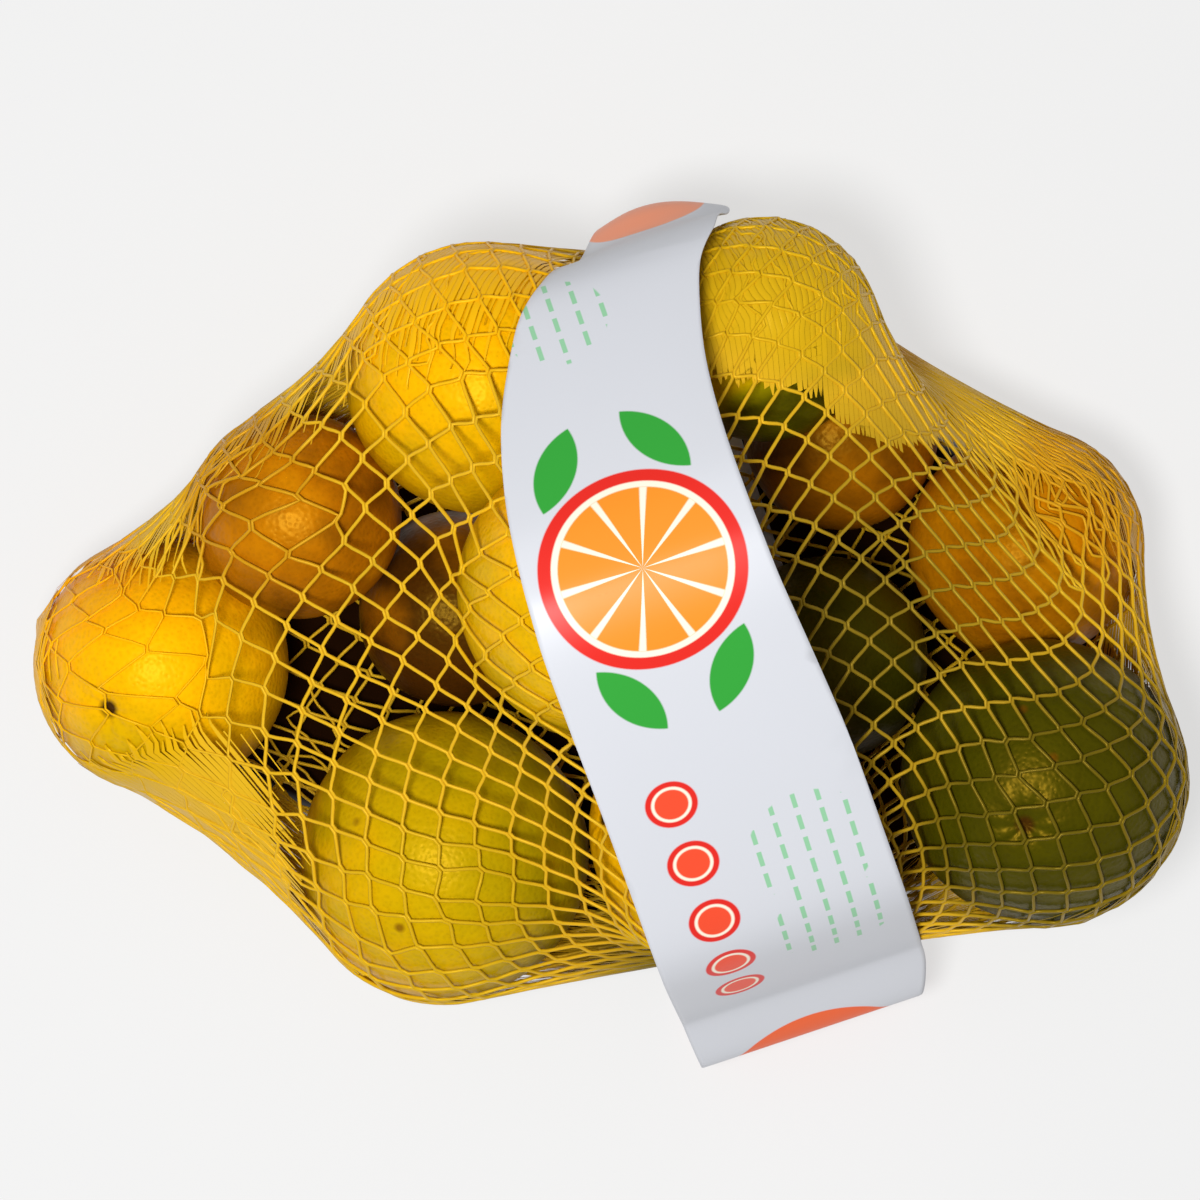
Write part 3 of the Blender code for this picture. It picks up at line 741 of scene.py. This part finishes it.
def print_over(under, where, ink):
    """The film's colour with one more ink printed on it."""
    return mixed(film_tree, where, under, linear(ink))


def wave(of, length, least):
    """Lines across a measure, one for each length: 1 on a line, 0 between."""
    turned = add_node(film_tree, "Math", {0: of, 1: math.tau / length}, operation="MULTIPLY")
    height = add_node(film_tree, "Math", {0: turned.outputs[0]}, operation="COSINE")
    return ranged(film_tree, height.outputs[0], least - WAVE_BLUR, least + WAVE_BLUR)


# Satin cast film, faintly cool, printed in flat inks: a cut orange with leaves, small cut
# oranges in a row, and rows of pale green dashes, all of plain shapes. Places on it are across
# the band and along it, in millimetres, with 0 at the heap's middle and at the loop's top.
INK_BLUR = 0.2
WAVE_BLUR = 0.05
CUT_ORANGE = (12.8, -20.0)
CUT_ORANGE_RINGS = ((25.0, "D8241A"), (21.8, "EFE6D2"), (20.2, "F28A22"))  # peel, pith, flesh
SEGMENTS = 10
SEGMENT_WALLS = 0.90  # a wave's height from which the pith between two of them prints
LEAVES = ((25.5, -51.0, 60), (0.5, -51.0, 120), (25.5, 11.0, 120), (0.5, 11.0, 60))
LEAF_SIZE = (24.0, 10.0)
SMALL_ORANGES = ((1.5, 42.0), (2.0, 60.0), (2.5, 78.0), (3.0, 96.0), (3.5, 114.0))
SMALL_ORANGE_RINGS = ((6.5, "D8241A"), (5.0, "EFE6D2"), (4.2, "E84A2A"))
DASHED_PLACES = ((12.0, -92.0, 13.0), (31.0, 66.0, 16.0), (31.0, 92.0, 16.0))
DASHES_ACROSS = (6.0, 0.80)  # from one to the next, and a wave's height from which it prints
DASHES_ALONG = (6.5, -0.45)
PLAIN_DISCS = (((42.0, -143.0), 16.0, "F0926A"), ((18.0, 174.5), 28.0, "E8602C"))  # at the folds
film, film_tree, film_shader = new_material("printed_polypropylene_film")
print_map = add_node(film_tree, "UVMap", uv_map="print")
spot = add_node(
    film_tree,
    "VectorMath",
    {0: print_map.outputs["UV"], 3: 1000 / UV_IN_A_METRE},
    operation="SCALE",
).outputs[0]
axes = add_node(film_tree, "SeparateXYZ", {0: spot})
inks = linear("CACCD2")
for middle, radius, ink in PLAIN_DISCS:
    inks = print_over(inks, disc(spot, middle, radius), ink)
for across, along, degrees in LEAVES:
    inks = print_over(inks, leaf(spot, np.array((across, along)), degrees, *LEAF_SIZE), "2E9A34")
for radius, ink in CUT_ORANGE_RINGS:
    inks = print_over(inks, disc(spot, CUT_ORANGE, radius), ink)
from_middle = add_node(film_tree, "VectorMath", {0: spot, 1: (*CUT_ORANGE, 0.0)}, operation="SUBTRACT")
round_middle = add_node(film_tree, "SeparateXYZ", {0: from_middle.outputs[0]})
bearing = add_node(
    film_tree, "Math", {0: round_middle.outputs["Y"], 1: round_middle.outputs["X"]}, operation="ARCTAN2"
)
walls = wave(bearing.outputs[0], math.tau / SEGMENTS, SEGMENT_WALLS)
flesh_radius = CUT_ORANGE_RINGS[-1][0]
inks = print_over(inks, both(walls, disc(spot, CUT_ORANGE, flesh_radius)), "EFE6D2")
for middle in SMALL_ORANGES:
    for radius, ink in SMALL_ORANGE_RINGS:
        inks = print_over(inks, disc(spot, middle, radius), ink)
dashes = both(wave(axes.outputs["X"], *DASHES_ACROSS), wave(axes.outputs["Y"], *DASHES_ALONG))
for across, along, radius in DASHED_PLACES:
    inks = print_over(inks, both(dashes, disc(spot, (across, along), radius)), "8CC29A")
film_tree.links.new(inks, film_shader.inputs["Base Color"])
film_shader.inputs["Roughness"].default_value = 0.42
film_shader.inputs["Specular IOR Level"].default_value = 0.3
band = place_in_scene("film_band", band_shape, film)
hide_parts("band")

# THE STAGE. A pale table that glows softly, with painted shadow under the heap, one soft lamp above
# the heap's left half, a dim room, and a camera that looks straight down, as the heap lies.
TABLE_HALF = 3.0
GLOW = 0.64
SHADE_FADES_FROM = 0.75  # of a shaded place's half size
# Painted shadow: in these places under the heap the table is dark brown and does not glow.
SHADED_PLACES = (  # middle (x, y), half size (x, y)
    ((-0.050, -0.002), (0.086, 0.060)),
    ((0.060, 0.010), (0.075, 0.062)),
    ((0.076, -0.040), (0.044, 0.032)),
    ((0.111, -0.008), (0.032, 0.030)),
    ((-0.002, -0.046), (0.046, 0.036)),
    ((-0.022, -0.072), (0.036, 0.018)),
)
floor_shape = bmesh.new()
bmesh.ops.create_grid(floor_shape, x_segments=1, y_segments=1, size=TABLE_HALF)
table, table_tree, table_shader = new_material("pale_glowing_table")
place = add_node(table_tree, "TexCoord").outputs["Object"]
shades = []
for middle, half_size in SHADED_PLACES:
    apart = add_node(table_tree, "VectorMath", {0: place, 1: (*middle, 0)}, operation="SUBTRACT")
    scaled = add_node(
        table_tree, "VectorMath", {0: apart.outputs[0], 1: (*half_size, 1.0)}, operation="DIVIDE"
    )
    reach = add_node(table_tree, "VectorMath", {0: scaled.outputs[0]}, operation="LENGTH")
    edges = (SHADE_FADES_FROM, 1.0, 1.0, 0.0)
    shade = ranged(table_tree, reach.outputs["Value"], *edges, interpolation_type="SMOOTHSTEP")
    shades.append(shade)
shaded = shades[0]
for shade in shades[1:]:
    shaded = add_node(table_tree, "Math", {0: shaded, 1: shade}, operation="MAXIMUM").outputs[0]
glow = ranged(table_tree, shaded, 0.0, 1.0, low=GLOW, high=0.0)
table_colour_with_painted_shadow = mixed(table_tree, shaded, linear("808080"), linear("1E0E04"))
table_tree.links.new(glow, table_shader.inputs["Emission Strength"])
table_tree.links.new(table_colour_with_painted_shadow, table_shader.inputs["Base Color"])
table_shader.inputs["Emission Color"].default_value = linear("FFFFFF")
table_shader.inputs["Roughness"].default_value = 1.0
table_shader.inputs["Specular IOR Level"].default_value = 0.0
floor = place_in_scene("floor", floor_shape, table)

LAMP_SIZE = 0.24
LAMP_WATTS = 8.9
LAMP_PLACE = Vector((-0.14, -0.10, 1.00))
LAMP_AIM = Vector((-0.01, 0.0, 0.05))
lamp = bpy.data.lights.new("key", "AREA")
lamp.shape = "DISK"
lamp.size = LAMP_SIZE
lamp.energy = LAMP_WATTS
lamp_holder = bpy.data.objects.new("key", lamp)
lamp_holder.location = LAMP_PLACE
lamp_holder.rotation_euler = (LAMP_AIM - LAMP_PLACE).to_track_quat("-Z", "Y").to_euler()
bpy.context.scene.collection.objects.link(lamp_holder)

world = bpy.data.worlds.new("studio")
world.use_nodes = True
world.node_tree.nodes["Background"].inputs["Color"].default_value = linear("FFFFFF")
world.node_tree.nodes["Background"].inputs["Strength"].default_value = 0.35
bpy.context.scene.world = world
bpy.context.scene.view_settings.view_transform = "Standard"

CAMERA_PLACE = Vector((-0.00255, 0.0102, 1.150))
SENSOR_WIDTH = 36.0
PHOTO_WIDTH_PIXELS = 1200
FOCAL_LENGTH_PIXELS = 4313.7
lens = bpy.data.cameras.new("camera")
lens.sensor_width = SENSOR_WIDTH
lens.lens = SENSOR_WIDTH * FOCAL_LENGTH_PIXELS / PHOTO_WIDTH_PIXELS
camera = bpy.data.objects.new("camera", lens)
camera.location = CAMERA_PLACE + HEAP_SHIFT
bpy.context.scene.collection.objects.link(camera)
bpy.context.scene.camera = camera
